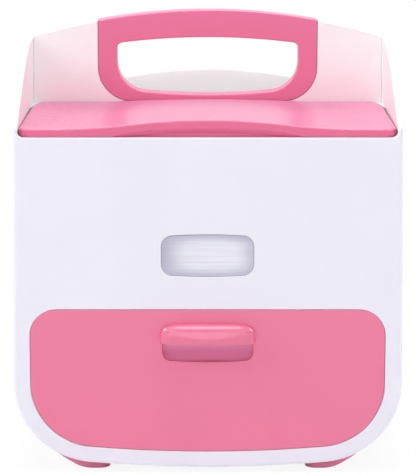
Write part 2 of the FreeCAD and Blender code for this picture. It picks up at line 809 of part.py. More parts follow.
def handle_panel():
    """Arched panel with the pocket for the handle, whose core plate the two grip halves clasp."""
    panel = body_block(wall + panel_seam, panel_face, panel_back, wall, arch_height, arch_radius)
    sides = [edge for edge in edges_on(panel, lambda p: abs(p.y - panel_face) < tiny)
             if edge.BoundBox.ZLength > shoulder_height and edge.BoundBox.XLength < wall + past]
    panel = panel.makeFillet(panel_edge_radius, sides)
    side_end = arch_end(arch_height, arch_radius)[1]
    crown = [edge for edge in edges_on(panel, lambda p: p.z > side_end - lap)
             if edge.BoundBox.YMax < panel_face + panel_edge_radius + tiny and is_sharp(panel, edge)]
    panel = panel.makeFillet(rim_edge_radius, crown)
    panel = panel.cut(handle_block(-handle_gap, panel_face - lap, panel_back + lap, -past))
    frame = handle_block(-handle_gap - panel_thickness, panel_face + rim_edge_radius, core_back, -past)
    frame = frame.cut(handle_block(-handle_gap, panel_face, core_back + lap, -past - lap))
    arch = body_block(wall + panel_seam, panel_face, core_back, wall, arch_height, arch_radius)
    core = handle_block(-handle_gap - lap, core_front, core_back, core_inset)
    core = core.cut(opening_block(-core_inset, core_front - lap, core_back + lap))
    for x, z in grip_boss_places():
        for side in (-1, 1):
            core = core.cut(rod(grip_boss_radius + handle_gap, V(side * x, core_front - lap, z), V(0, past, 0)))
    panel = panel.fuse(frame.common(arch)).fuse(core)
    for x, z in panel_boss_places():
        for side in (-1, 1):
            boss = rod(panel_boss_radius, V(side * x, panel_back - lap, z), V(0, panel_boss_length + lap, 0))
            hole = rod(screw_radius, V(side * x, panel_tab_back - screw_bite, z), V(0, past, 0))
            panel = panel.fuse(boss).cut(hole)
    return panel


def panel_screws():
    return screws([V(side * x, panel_tab_back, z) for x, z in panel_boss_places() for side in (-1, 1)])


def handle_grip_front():
    """Front half of the handle: a skin flush with the panel, a lip in the hand opening and a top edge."""
    skin_back = panel_face + grip_skin
    opening = opening_block(0.0, panel_face - lap, handle_back + lap)
    plate = handle_block(0.0, panel_face, skin_back).cut(opening)
    plate = plate.makeFillet(grip_front_edge_radius, edges_on(plate, lambda p: abs(p.y - panel_face) < tiny))
    lip = opening_block(-grip_skin + handle_gap, skin_back - lap, grip_split).cut(opening)
    top = handle_block(0.0, skin_back - lap, grip_split)
    top = top.cut(handle_block(-lap, skin_back - past, grip_split + lap, grip_skin - handle_gap))
    grip = plate.fuse(lip).fuse(top)
    for x, z in grip_boss_places():
        for side in (-1, 1):
            length = grip_boss_end - skin_back + lap
            boss = rod(grip_boss_radius, V(side * x, skin_back - lap, z), V(0, length, 0))
            hole = rod(screw_radius, V(side * x, grip_screw_seat - screw_bite, z), V(0, past, 0))
            grip = grip.fuse(boss).cut(hole)
    return grip


def handle_grip_rear():
    """Rear half of the handle: a rounded shell, with pillars that meet the front half's bosses."""
    opening = opening_block(0.0, panel_face - lap, handle_back + lap)
    grip = handle_block(0.0, grip_split, handle_back).cut(opening)
    grip = grip.makeFillet(grip_rear_edge_radius, edges_on(grip, lambda p: abs(p.y - handle_back) < tiny))
    hollow = handle_block(grip_skin, grip_split - lap, handle_back - grip_skin)
    grip = grip.cut(hollow.cut(opening_block(-grip_skin, grip_split - past, handle_back)))
    for x, z in grip_boss_places():
        for side in (-1, 1):
            pillar = rod(grip_boss_radius + grip_pillar_wall, V(side * x, grip_boss_end, z),
                         V(0, handle_back - grip_boss_end - lap, 0))
            seat = V(side * x, grip_screw_seat, z)
            grip = grip.fuse(pillar).cut(screw_hole(seat, grip_screw_seat - grip_boss_end + lap))
    return grip


def handle_screws():
    return screws([V(side * x, grip_screw_seat, z) for x, z in grip_boss_places() for side in (-1, 1)])


def window_pane():
    """Clear dished pane set into the front wall, with a raised border and a flange behind the wall."""
    face = front + pane_recess
    pane = window_block(pane_gap, face, front + wall + lap)
    pane = pane.makeFillet(pane_recess, edges_on(pane, lambda p: abs(p.y - face) < tiny))
    pane = pane.fuse(window_block(-pane_flange, front + wall, front + wall + pane_flange_thickness))
    pane = pane.cut(window_block(pane_gap + pane_frame, face - lap, face + pane_frame_rise))
    return pane.cut(window_block(pane_gap + pane_wall, face + pane_frame_rise + pane_wall,
                                 front + wall + pane_flange_thickness + lap))


def storage_tub():
    """Open tub under the lid, with a shelf behind it that closes the gap to the panel."""
    half = half_width(tub_rim, wall) - tub_side_gap
    outer = plan_box(half, tub_front, tub_back, tub_low, tub_rim, tub_corner_radius, tub_corner_radius)
    outer = outer.makeFillet(tub_floor_radius, edges_on(outer, lambda p: abs(p.z - tub_low) < tiny))
    inner_radius = tub_corner_radius - tub_wall
    inner_low = tub_low + tub_wall
    inner = plan_box(half - tub_wall, tub_front + tub_wall, tub_back - tub_wall, inner_low, tub_rim + lap,
                     inner_radius, inner_radius)
    inner_floor = edges_on(inner, lambda p: abs(p.z - inner_low) < tiny)
    inner = inner.makeFillet(tub_floor_radius - tub_wall, inner_floor)
    shelf = box(-half, half, tub_back - tub_corner_radius - lap, panel_face - panel_seam,
                tub_shelf_top - tub_shelf_thickness, tub_shelf_top)
    return outer.fuse(shelf).cut(inner)


def foot(side, y):
    """Soft foot moulded to the curve of the housing's lower corner, with a peg through its floor."""
    top = foot_rise + foot_thickness
    corners = [(foot_inner, 0.0, foot_edge_radius), (foot_flat_outer, 0.0, foot_sole_radius),
               (foot_outer, foot_rise, 0.0), (foot_outer - foot_outer_slant, top, 0.0), (foot_inner, top, 0.0)]
    y0 = y - foot_half_length
    y1 = y + foot_half_length
    pad = prism(rounded_edges(corners, lambda x, z: V(x, y0, z)), V(0, y1 - y0, 0))
    plan = plan_block([(x, y_end, foot_plan_radius) for x, y_end in
                       ((foot_inner, y0), (foot_outer, y0), (foot_outer, y1), (foot_inner, y1))], 0.0, top)
    pad = pad.common(plan).cut(body_block(0.0, front, rear))
    peg_end = floor_clearance + wall + peg_length
    pad = pad.fuse(rod(peg_radius, V(peg_place, y, peg_base), V(0, 0, peg_end - peg_base)))
    return pad if side > 0 else mirrored(pad)


def hinge_pin(side):
    end = half_width(hinge_height, wall) + pin_seat_depth - pin_fixed_gap
    pin = rod(pin_radius, V(end - pin_length, hinge_y, hinge_height), V(pin_length, 0, 0))
    pin = pin.makeChamfer(pin_chamfer, [edge for edge in pin.Edges if edge.BoundBox.XLength < tiny])
    return pin if side > 0 else mirrored(pin)


# Lid pieces

def lid_panel():
    """Outer skin of the lid: a wave-shaped top, canted rear corners, and barrels for the hinge pins."""
    body = lid_wave_block(lid_low, 0.0).common(lid_plan(0.0, lid_low - lap, above_all))
    top = [edge for edge in edges_on(body, lambda p: p.z > lid_end_height - tiny) if edge_is_rim(body, edge)]
    body = body.makeFillet(lid_edge_radius, top)
    hollow = lid_wave_block(lid_low - past, lid_skin).common(lid_plan(lid_skin, lid_low - lap, above_all))
    body = body.cut(hollow)
    barrel_end = lid_half_width() - lid_cant_inset - barrel_side_gap
    saddle_height = lid_end_thickness - hinge_rise - lid_edge_radius
    barrel = rod(barrel_radius, V(barrel_end - barrel_length, hinge_y, hinge_height), V(barrel_length, 0, 0))
    saddle = box(barrel_end - barrel_length, barrel_end, hinge_y - barrel_radius, hinge_y + barrel_radius,
                 hinge_height, hinge_height + saddle_height)
    bore = rod(pin_radius + pin_running_gap, V(barrel_end - past - lap, hinge_y, hinge_height),
               V(2 * past, 0, 0))
    for piece in both_sides(barrel.fuse(saddle)):
        body = body.fuse(piece)
    for hole in both_sides(bore):
        body = body.cut(hole)
    scoop_back = scoop_block(scoop_wall, lid_front + lap, lid_front + scoop_depth + scoop_wall)
    body = body.fuse(scoop_back.common(lid_plan(0.0, lid_low, above_all)))
    return body.cut(scoop_block(0.0, lid_front - lap, lid_front + scoop_depth))


def lid_liner():
    """Inner plate of the lid."""
    half = lid_half_width() - liner_side_inset
    return plan_box(half, front + wall + liner_front_gap, tub_back + liner_overhang, lid_low - liner_thickness,
                    lid_low, lid_front_corner_radius - liner_side_inset, liner_rear_radius)


def lid_seal():
    """Soft ring under the liner that meets the tub's rim."""
    half = lid_half_width() - seal_side_inset
    seal_front = tub_front - seal_gap
    seal_back = tub_back + seal_gap
    low = tub_rim + seal_gap
    high = lid_low - liner_thickness
    radius = seal_corner_radius
    outer = plan_box(half, seal_front, seal_back, low, high, radius, radius)
    inner = plan_box(half - seal_width, seal_front + seal_width, seal_back - seal_width, low - lap, high + lap,
                     radius - seal_width, radius - seal_width)
    return outer.cut(inner)


# Drawer pieces

def recess_block(offset, start):
    """The finger recess behind the pull, enlarged by an offset, from y = start to its back.

    Seen from the side its back runs down into an arc that comes out at the drawer's face.
    """
    half = recess_half_width + offset
    back = front + recess_depth + offset
    outline = bowed_block(half, half, recess_low - offset, recess_high + offset, start, back,
                          recess_bow_radius + offset, None, recess_lower_radius + offset,
                          recess_upper_radius + offset)
    axis_y = front + recess_depth - recess_scoop_radius
    axis_z = recess_low + math.sqrt(recess_scoop_radius ** 2 - (front - axis_y) ** 2)
    hollow = rod(recess_scoop_radius + offset, V(-half, axis_y, axis_z), V(2 * half, 0, 0))
    above = box(-half, half, start, back, axis_z, recess_high + past)
    return outline.common(hollow.fuse(above))


def drawer_front():
    """Hollow front of the drawer with the finger recess, and with pads for the pull's two posts."""
    body = drawer_block(0.0, front, tray_front)
    body = body.makeFillet(drawer_edge_radius, edges_on(body, lambda p: abs(p.y - front) < tiny))
    body = body.cut(drawer_block(drawer_front_skin, front + drawer_front_skin, tray_front + lap))
    for x, z in tray_screw_places():
        body = body.fuse(rod(tray_boss_radius, V(x, front + lap, z), V(0, drawer_front_depth - lap, 0)))
    body = body.fuse(recess_block(recess_wall, front + lap))
    body = body.cut(recess_block(0.0, front - lap))
    x, z = post_place()
    for side in (-1, 1):
        pad = box(side * x - post_half_width, side * x + post_half_width, front + post_reach,
                  front + recess_depth + lap, z - post_half_height, recess_high + lap)
        seat = V(side * x, front + post_reach + pad_thickness, z)
        body = body.fuse(pad).cut(screw_hole(seat, pad_thickness + lap))
    for x, z in tray_screw_places():
        seat = tray_front + tray_wall
        body = body.cut(rod(screw_radius, V(x, seat - screw_bite, z), V(0, past, 0)))
    return body


def drawer_tray():
    """Open tray behind the drawer front, with two stops that rise behind the front ledge."""
    outer = drawer_block(tray_inset, tray_front, tray_back, tray_rim, 0.0)
    inner = drawer_block(tray_inset + tray_wall, tray_front + tray_wall, tray_back - tray_wall,
                         tray_rim + lap, 0.0)
    tray = outer.cut(inner)
    stop = box(stop_place - stop_half_width, stop_place + stop_half_width, tray_back - stop_thickness,
               tray_back, tray_rim - stop_root, ledge_top - stop_clearance)
    for piece in both_sides(stop):
        tray = tray.fuse(piece)
    for x, z in tray_screw_places():
        tray = tray.cut(screw_hole(V(x, tray_front + tray_wall, z), tray_wall + lap))
    return tray


def tray_screws():
    return screws([V(x, tray_front + tray_wall, z) for x, z in tray_screw_places()])


def pull_plan(inset, back, z0, z1):
    """The hood seen from above: flat at the back, bowed at the front."""
    half = pull_half_width - inset
    ends = front - pull_end_reach + inset
    middle = front - pull_reach + inset
    edges = [Part.makeLine(V(-half, back, z0), V(-half, ends, z0)),
             Part.Arc(V(-half, ends, z0), V(0, middle, z0), V(half, ends, z0)).toShape(),
             Part.makeLine(V(half, ends, z0), V(half, back, z0)),
             Part.makeLine(V(half, back, z0), V(-half, back, z0))]
    return prism(edges, V(0, 0, z1 - z0))


def drawer_pull():
    """Bowed hood over the finger recess, open below and behind, with a screw post at each end."""
    half = pull_half_width
    hood = pull_plan(0.0, front, pull_low, pull_high)
    hood = hood.common(bowed_block(half, half, pull_low, pull_high, front - past, front + lap, None, None, 0.0,
                                   pull_upper_radius))
    outline = [edge for edge in hood.Edges if edge.BoundBox.YMin < front - pull_end_reach + tiny
               and edge.BoundBox.YMax < front - pull_end_reach + lap and edge.BoundBox.XLength > tiny
               and edge.BoundBox.ZMin > pull_low + tiny]
    hood = hood.makeFillet(pull_edge_radius, outline)
    half -= pull_skin
    hollow = pull_plan(pull_skin, front + lap, pull_low - lap, pull_high - pull_skin)
    hollow = hollow.common(bowed_block(half, half, pull_low - past, pull_high - pull_skin, front - past,
                                       front + past, None, None, 0.0, pull_upper_radius - pull_skin))
    hood = hood.cut(hollow)
    x, z = post_place()
    for side in (-1, 1):
        post = box(side * x - post_half_width, side * x + post_half_width, front - pull_end_reach + lap,
                   front + post_reach, z - post_half_height, z + post_half_height)
        bite = screw_bite - pad_thickness
        hole = rod(screw_radius, V(side * x, front + post_reach - bite, z), V(0, past, 0))
        hood = hood.fuse(post).cut(hole)
    return hood


def pull_screws():
    x, z = post_place()
    return screws([V(side * x, front + post_reach + pad_thickness, z) for side in (-1, 1)])


def main():
    os.makedirs("parts", exist_ok=True)
    for piece in (outer_shell, rear_cover, cover_screws, handle_panel, panel_screws, handle_grip_front,
                  handle_grip_rear, handle_screws, window_pane, storage_tub, lid_panel, lid_liner, lid_seal,
                  drawer_front, drawer_tray, tray_screws, drawer_pull, pull_screws):
        export(piece.__name__, piece())
    for side, hand in ((-1, "left"), (1, "right")):
        export("foot_front_" + hand, foot(side, front + foot_setback))
        export("foot_rear_" + hand, foot(side, rear - foot_setback))
        export("hinge_pin_" + hand, hinge_pin(side))


main()
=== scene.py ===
import math
import bmesh
import bpy
import numpy as np
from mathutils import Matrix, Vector


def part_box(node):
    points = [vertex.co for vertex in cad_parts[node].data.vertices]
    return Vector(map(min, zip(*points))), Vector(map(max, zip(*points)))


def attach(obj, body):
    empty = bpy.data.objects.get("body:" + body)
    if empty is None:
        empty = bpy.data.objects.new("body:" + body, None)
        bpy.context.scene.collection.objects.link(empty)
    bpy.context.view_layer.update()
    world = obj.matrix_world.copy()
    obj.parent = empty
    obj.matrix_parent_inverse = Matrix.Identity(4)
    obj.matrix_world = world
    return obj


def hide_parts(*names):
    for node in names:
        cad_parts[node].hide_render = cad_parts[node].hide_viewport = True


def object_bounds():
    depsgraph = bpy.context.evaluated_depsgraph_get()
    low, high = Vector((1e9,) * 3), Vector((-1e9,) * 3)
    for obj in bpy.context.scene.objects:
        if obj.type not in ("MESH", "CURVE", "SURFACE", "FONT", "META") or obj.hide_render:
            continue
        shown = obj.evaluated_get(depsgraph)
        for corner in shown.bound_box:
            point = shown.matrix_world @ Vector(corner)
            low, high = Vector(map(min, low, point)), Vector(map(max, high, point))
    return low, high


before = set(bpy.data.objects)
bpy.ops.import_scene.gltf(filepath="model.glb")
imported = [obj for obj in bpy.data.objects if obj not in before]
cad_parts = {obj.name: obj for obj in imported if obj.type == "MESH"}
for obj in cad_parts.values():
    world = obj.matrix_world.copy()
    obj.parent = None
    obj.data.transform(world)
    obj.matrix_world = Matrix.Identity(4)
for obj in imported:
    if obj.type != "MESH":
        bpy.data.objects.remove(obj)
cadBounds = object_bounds()
print("frame loaded:", len(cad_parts), "nodes")


# Shader maths: a wrapped socket, on which + - * / and ** add Math nodes

class Wire:
    def __init__(self, board, socket):
        self.board = board
        self.socket = socket

    def combine(self, operation, *values):
        return self.board.add("ShaderNodeMath", {"operation": operation}, dict(enumerate(values)))

    def __add__(self, other):
        return self.combine("ADD", self, other)

    def __radd__(self, other):
        return self.combine("ADD", other, self)

    def __sub__(self, other):
        return self.combine("SUBTRACT", self, other)

    def __rsub__(self, other):
        return self.combine("SUBTRACT", other, self)

    def __mul__(self, other):
        return self.combine("MULTIPLY", self, other)

    def __rmul__(self, other):
        return self.combine("MULTIPLY", other, self)

    def __truediv__(self, other):
        return self.combine("DIVIDE", self, other)

    def __rtruediv__(self, other):
        return self.combine("DIVIDE", other, self)

    def __pow__(self, other):
        return self.combine("POWER", self, other)

    def size(self):
        return self.combine("ABSOLUTE", self)

    def least(self, other):
        return self.combine("MINIMUM", self, other)

    def repeat(self, pitch):
        # distance from the middle of the cell that a value falls in
        return (self.combine("FLOORED_MODULO", self, pitch) - pitch / 2).size()

    def ramp(self, low, high, start=0.0, end=1.0):
        # smooth change from start to end while the value goes from low to high
        return self.board.add("ShaderNodeMapRange",
                              {"interpolation_type": "SMOOTHSTEP", "clamp": True},
                              {"Value": self, "From Min": low, "From Max": high, "To Min": start,
                               "To Max": end})

    def fall(self, low, high):
        # 1 below low and 0 above high
        return self.ramp(low, high, 1.0, 0.0)


class Board:
    # the node tree of one material or of the world
    def __init__(self, owner):
        owner.use_nodes = True
        self.tree = owner.node_tree
        self.tree.nodes.clear()

    def add(self, kind, settings=None, inputs=None, output=0):
        # settings are the node's own properties, and inputs are links or values for its sockets
        node = self.tree.nodes.new(kind)
        for name, value in (settings or {}).items():
            setattr(node, name, value)
        for name, value in (inputs or {}).items():
            if isinstance(value, Wire):
                self.tree.links.new(value.socket, node.inputs[name])
            else:
                node.inputs[name].default_value = value
        return Wire(self, node.outputs[output] if node.outputs else None)

    def place(self):
        return self.add("ShaderNodeTexCoord", output="Object")

    def stretched(self, scale):
        return self.add("ShaderNodeMapping", {}, {"Vector": self.place(), "Scale": scale})

    def noise(self, scale, detail=2.0, roughness=0.5, along=None):
        return self.add("ShaderNodeTexNoise", {}, {"Vector": along or self.place(), "Scale": scale,
                                                   "Detail": detail, "Roughness": roughness})

    def axes(self):
        split = self.add("ShaderNodeSeparateXYZ", {}, {"Vector": self.place()})
        return [Wire(self, socket) for socket in split.socket.node.outputs]

    def blend(self, factor, first, second):
        return self.add("ShaderNodeMix", {"data_type": "RGBA"}, {0: factor, 6: first, 7: second},
                        output=2)

    def bump(self, height, depth):
        # depth in metres is the relief of a height that runs from 0 to 1
        return self.add("ShaderNodeBump", {}, {"Height": height, "Distance": depth,
                                               "Strength": 1.0})


def fromScreen(red, green, blue):
    # an eight-bit display colour as linear light by the sRGB curve, with alpha 1
    shares = np.array([red, green, blue]) / 255
    linear = np.where(shares < 0.04045, shares / 12.92, ((shares + 0.055) / 1.055) ** 2.4)
    return (*[float(share) for share in linear], 1.0)


def tinted(colour, factor):
    # a colour made lighter or darker by a factor, with its alpha as it was
    return (*[min(1.0, share * factor) for share in colour[:3]], colour[3])


# Light, camera, floor

plainWhite = (1.0, 1.0, 1.0, 1.0)
cameraSet = {"place": (0.0003, -1.72405, 0.5101), "tilt": 78.76, "lens": 165.95, "sensor": 36.0}

# turn is from the front towards the right, rise is above level, both in degrees, and level is what
# the lamp adds to a white surface facing it
lampSet = {
    "leftLamp": {"turn": -30.0, "rise": 28.0, "away": 2.2, "size": 0.24, "level": 0.045},
    "rightLamp": {"turn": 30.0, "rise": 28.0, "away": 2.2, "size": 0.24, "level": 0.035},
    "lowLeftLamp": {"turn": -30.0, "rise": 1.0, "away": 2.2, "size": 0.3, "level": 0.02},
    "lowRightLamp": {"turn": 30.0, "rise": 1.0, "away": 2.2, "size": 0.3, "level": 0.02},
    "leftWallLamp": {"turn": -79.0, "rise": 34.0, "away": 2.2, "size": 0.9, "level": 0.53},
    "rightWallLamp": {"turn": 80.0, "rise": 34.0, "away": 2.2, "size": 0.9, "level": 0.36},
    "frontLamp": {"turn": -3.0, "rise": 8.0, "away": 2.4, "size": 1.6, "level": 0.19},
    "topLamp": {"turn": 0.0, "rise": 74.0, "away": 2.0, "size": 1.2, "level": 0.42},
    "backLamp": {"turn": 176.0, "rise": 55.0, "away": 2.2, "size": 1.2, "level": 0.52},
}
worldLevel = 0.12

# lift is the share of plain white in the paper by the object. It grows to the whole over the fade
floorSet = {
    "half": 5.0, "colour": (0.92, 0.92, 0.92, 1.0), "roughness": 0.7, "grainScale": 900.0,
    "grainDepth": 0.00002, "lift": 0.9, "fade": (0.22, 0.6),
}


def linked(name, data):
    thing = bpy.data.objects.new(name, data)
    bpy.context.scene.collection.objects.link(thing)
    return thing


def makeCamera(settings):
    camera = linked("camera", bpy.data.cameras.new("camera"))
    camera.location = settings["place"]
    camera.rotation_euler = (math.radians(settings["tilt"]), 0.0, 0.0)
    camera.data.lens = settings["lens"]
    camera.data.sensor_width = settings["sensor"]
    bpy.context.scene.camera = camera


def makeLamp(name, settings, target):
    # a square lamp that faces the target, with an energy of level x (pi x distance)^2
    turn = math.radians(settings["turn"])
    rise = math.radians(settings["rise"])
    away = settings["away"]
    lamp = bpy.data.lights.new(name, "AREA")
    lamp.size = settings["size"]
    lamp.energy = settings["level"] * (math.pi * away) ** 2
    way = Vector((math.sin(turn) * math.cos(rise), -math.cos(turn) * math.cos(rise),
                  math.sin(rise)))
    thing = linked(name, lamp)
    thing.location = target + way * away
    thing.rotation_euler = way.to_track_quat("Z", "Y").to_euler()


def seenDirectly(board):
    # 1 for what the camera, a reflection or a clear pane sees, 0 for the light on surfaces
    path = board.add("ShaderNodeLightPath").socket.node.outputs
    kinds = ("Is Camera Ray", "Is Glossy Ray", "Is Transmission Ray")
    camera, glossy, clear = [Wire(board, path[kind]) for kind in kinds]
    return (camera + glossy + clear).least(1.0)


def makeWorld(level):
    world = bpy.data.worlds.new("studio")
    bpy.context.scene.world = world
    board = Board(world)
    light = board.add("ShaderNodeBackground", {}, {"Color": plainWhite, "Strength": level})
    white = board.add("ShaderNodeBackground", {}, {"Color": plainWhite, "Strength": 1.0})
    mixed = board.add("ShaderNodeMixShader", {}, {0: seenDirectly(board), 1: light, 2: white})
    board.add("ShaderNodeOutputWorld", {}, {"Surface": mixed})


def makeFloor(settings):
    half = settings["half"]
    mesh = bpy.data.meshes.new("floor")
    mesh.from_pydata([(-half, -half, 0), (half, -half, 0), (half, half, 0), (-half, half, 0)], [],
                     [(0, 1, 2, 3)])
    floor = linked("floor", mesh)
    material = bpy.data.materials.new("floorPaper")
    board = Board(material)
    normal = board.bump(board.noise(settings["grainScale"]), settings["grainDepth"])
    shade = board.add("ShaderNodeBsdfPrincipled", {}, {"Base Color": settings["colour"],
                                                       "Roughness": settings["roughness"],
                                                       "Normal": normal})
    white = board.add("ShaderNodeEmission", {}, {"Color": plainWhite, "Strength": 1.0})
    x, y, _ = board.axes()
    away = (x * x + y * y) ** 0.5
    plain = away.ramp(*settings["fade"], settings["lift"], 1.0) * seenDirectly(board)
    mixed = board.add("ShaderNodeMixShader", {}, {0: plain, 1: shade, 2: white})
    board.add("ShaderNodeOutputMaterial", {}, {"Surface": mixed})
    mesh.materials.append(material)


bpy.context.scene.view_settings.view_transform = "Standard"
middle = (cadBounds[0] + cadBounds[1]) / 2
makeCamera(cameraSet)
for lampName, lampSettings in lampSet.items():
    makeLamp(lampName, lampSettings, middle)
makeWorld(worldLevel)
makeFloor(floorSet)
print("camera, lamps and floor made")


# Finishes

# What a plastic has unless its own finish says otherwise. Drift is the share by which the pigment
# varies, and peel and grain are the heights in millimetres of orange peel and fine grain
plasticSet = {
    "drift": 0.012, "driftScale": 16.0, "driftDetail": 3.0, "driftRoughness": 0.55,
    "driftRange": (0.3, 0.7), "peel": 0.004, "peelScale": 210.0, "grainScale": 2600.0,
    "fineDetail": 1.0, "grainRange": (0.2, 0.8), "glossSpread": 0.012, "reliefUnit": 0.001,
    "sockets": {},
}


def plastic(name, ownSettings):
    # Moulded plastic: a base tone with pigment drift, and a relief of orange peel plus grain, which
    # the gloss follows. A finish may add relief of its own in millimetres, paint light or shade
    # into the base tone, thin its cover, and have a mask for the faces that light comes through
    settings = {**plasticSet, **ownSettings}
    material = bpy.data.materials.new(name)
    board = Board(material)
    drift = board.noise(settings["driftScale"], settings["driftDetail"], settings["driftRoughness"])
    base = board.blend(drift.ramp(*settings["driftRange"]),
                       tinted(settings["colour"], 1 - settings["drift"]),
                       tinted(settings["colour"], 1 + settings["drift"]))
    grain = board.noise(settings["grainScale"], settings["fineDetail"])
    peel = board.noise(settings["peelScale"], settings["fineDetail"])
    relief = peel * settings["peel"] + grain * settings["grain"]
    gloss = grain.ramp(*settings["grainRange"], settings["roughness"] - settings["glossSpread"],
                       settings["roughness"] + settings["glossSpread"])
    if "relief" in settings:
        relief = relief + settings["relief"](board)
    if "tone" in settings:
        base = settings["tone"](board, base)
    shade = {"Base Color": base, "Roughness": gloss,
             "Normal": board.bump(relief, settings["reliefUnit"]), **settings["sockets"]}
    if "alpha" in settings:
        shade["Alpha"] = settings["alpha"](board)
    surface = board.add("ShaderNodeBsdfPrincipled", {}, shade)
    if "through" in settings:
        thin = board.add("ShaderNodeBsdfPrincipled", {}, {**shade, **settings["throughSockets"]})
        mask = settings["through"](board)
        surface = board.add("ShaderNodeMixShader", {}, {0: mask, 1: surface, 2: thin})
    board.add("ShaderNodeOutputMaterial", {}, {"Surface": surface})
    return material


# In the dictionaries below, lengths are in metres and heights in millimetres, and a pair that goes
# to ramp or fall is where a soft step starts and ends

ejectorSet = {"pitch": (0.052, 0.047), "shift": 0.012, "radius": 0.0038, "ring": (0.00012, 0.0004),
              "height": 0.035}


def ejectorMarks(board):
    # rings left by the mould's ejector pins, where the distance from the nearest pin's middle is
    # the pin's radius
    x, y, _ = board.axes()
    across = x.repeat(ejectorSet["pitch"][0])
    along = (y + ejectorSet["shift"]).repeat(ejectorSet["pitch"][1])
    away = (across * across + along * along) ** 0.5
    return (away - ejectorSet["radius"]).size().ramp(*ejectorSet["ring"], ejectorSet["height"], 0.0)


treadSet = {"pitch": 0.0024, "rib": (0.0003, 0.0007), "height": 0.25, "top": (0.0008, 0.0016)}


def soleTread(board):
    # fine ribs across a foot's sole, and none above it
    x, _, z = board.axes()
    rib = x.repeat(treadSet["pitch"]).ramp(*treadSet["rib"], treadSet["height"], 0.0)
    return rib * z.fall(*treadSet["top"])


turningSet = {"pitch": 0.0005, "groove": (0.0, 0.00025), "height": 0.006}


def turningMarks(board):
    # faint rings left by the lathe on a steel pin
    x, _, _ = board.axes()
    return x.repeat(turningSet["pitch"]).ramp(*turningSet["groove"], 0.0, turningSet["height"])


paintedWingSet = {"near": (0.1412, 0.1416), "far": (0.1439, 0.1442), "low": (0.266, 0.268),
           "back": (0.0655, 0.0665), "tone": fromScreen(243, 253, 251)}


def paintedWingLight(board, base):
    # painted light: the wings' inner faces above the lid are painted a lighter, cooler white than
    # the shell's outside, which stands in for light they lack and cancels the pink light the lid
    # throws on them
    x, y, z = board.axes()
    inside = x.size().ramp(*paintedWingSet["near"]) * x.size().fall(*paintedWingSet["far"])
    inside = inside * z.ramp(*paintedWingSet["low"]) * y.fall(*paintedWingSet["back"])
    return board.blend(inside, base, paintedWingSet["tone"])


paintedPanelSet = {"rise": (0.268, 0.304), "lowPaintedLight": fromScreen(249, 241, 244),
            "highPaintedLight": fromScreen(245, 252, 252)}


def paintedPanelLight(board, base):
    # painted light: the panel's front is painted the same lighter, cooler white as the wings beside
    # it, and a warmer pink down by the lid, a painted reflection of the lid's pink
    _, y, z = board.axes()
    tone = board.blend(z.ramp(*paintedPanelSet["rise"]), paintedPanelSet["lowPaintedLight"], paintedPanelSet["highPaintedLight"])
    return board.blend(y.fall(*paintedWingSet["back"]), base, tone)


coverSet = {"innerFace": (0.1020, 0.1025)}


def coverThrough(board):
    # the rear cover's inner face, which the daylight behind it comes through
    _, y, _ = board.axes()
    return y.fall(*coverSet["innerFace"])


paintedScoopSet = {"front": (-0.0922, -0.0912), "back": (-0.0860, -0.0830), "top": (0.2655, 0.2665),
            "tone": fromScreen(237, 117, 159)}


def paintedScoopLight(board, base):
    # painted light: the scoop under the lid's front edge is painted a paler pink than the lid,
    # which lightens the shade it lies in
    _, y, z = board.axes()
    inside = y.ramp(*paintedScoopSet["front"]) * y.fall(*paintedScoopSet["back"]) * z.fall(*paintedScoopSet["top"])
    return board.blend(inside, base, paintedScoopSet["tone"])


paintedRecessSet = {"front": (-0.0942, -0.0918), "side": (0.0358, 0.0363), "low": (0.0867, 0.0872),
             "high": (0.1168, 0.1173), "rise": (0.088, 0.1), "lowPaintedLight": fromScreen(254, 160, 202),
             "highPaintedLight": fromScreen(240, 142, 188)}


def paintedRecessLight(board, base):
    # painted light: the finger recess under the hood is painted a cooler, paler pink than the front
    # it is sunk into, and paler still at its foot, which lightens the shade there
    x, y, z = board.axes()
    inside = y.ramp(*paintedRecessSet["front"]) * x.size().fall(*paintedRecessSet["side"])
    inside = inside * z.ramp(*paintedRecessSet["low"]) * z.fall(*paintedRecessSet["high"])
    tone = board.blend(z.ramp(*paintedRecessSet["rise"]), paintedRecessSet["lowPaintedLight"], paintedRecessSet["highPaintedLight"])
    return board.blend(inside, base, tone)


# the middle's tone is painted light, which leaves the edges darker as if shaded; streakShare is how
# far the streaks push its edge, and cover is the alpha that they run between
paneSet = {
    "middle": (0.003, 0.1719), "reach": (0.034, 0.0160), "power": 4.0, "fade": (0.5, 1.1),
    "paintedGlow": fromScreen(243, 243, 255), "streakScale": (20.0, 20.0, 640.0), "streakDetail": 3.0,
    "streakRoughness": 0.55, "streakShare": 0.2, "streakRange": (0.25, 0.75), "cover": (0.72, 0.86),
}


def paneStreaks(board):
    # soft level streaks, drawn out sideways by the flow of the clear plastic
    return board.noise(1.0, paneSet["streakDetail"], paneSet["streakRoughness"],
                       along=board.stretched(paneSet["streakScale"]))


def panePaintedGlow(board, base):
    # painted light: a bright middle on the pane, which fades with the streaks to the darker,
    # shaded-looking edge towards |x/a|^n + |z/b|^n = 1
    x, _, z = board.axes()
    across = ((x - paneSet["middle"][0]) / paneSet["reach"][0]).size()
    up = ((z - paneSet["middle"][1]) / paneSet["reach"][1]).size()
    away = (across ** paneSet["power"] + up ** paneSet["power"]) ** (1 / paneSet["power"])
    paintedGlow = (away + (paneStreaks(board) - 0.5) * paneSet["streakShare"]).fall(*paneSet["fade"])
    return board.blend(paintedGlow, base, paneSet["paintedGlow"])


def paneCover(board):
    return paneStreaks(board).ramp(*paneSet["streakRange"], *paneSet["cover"])


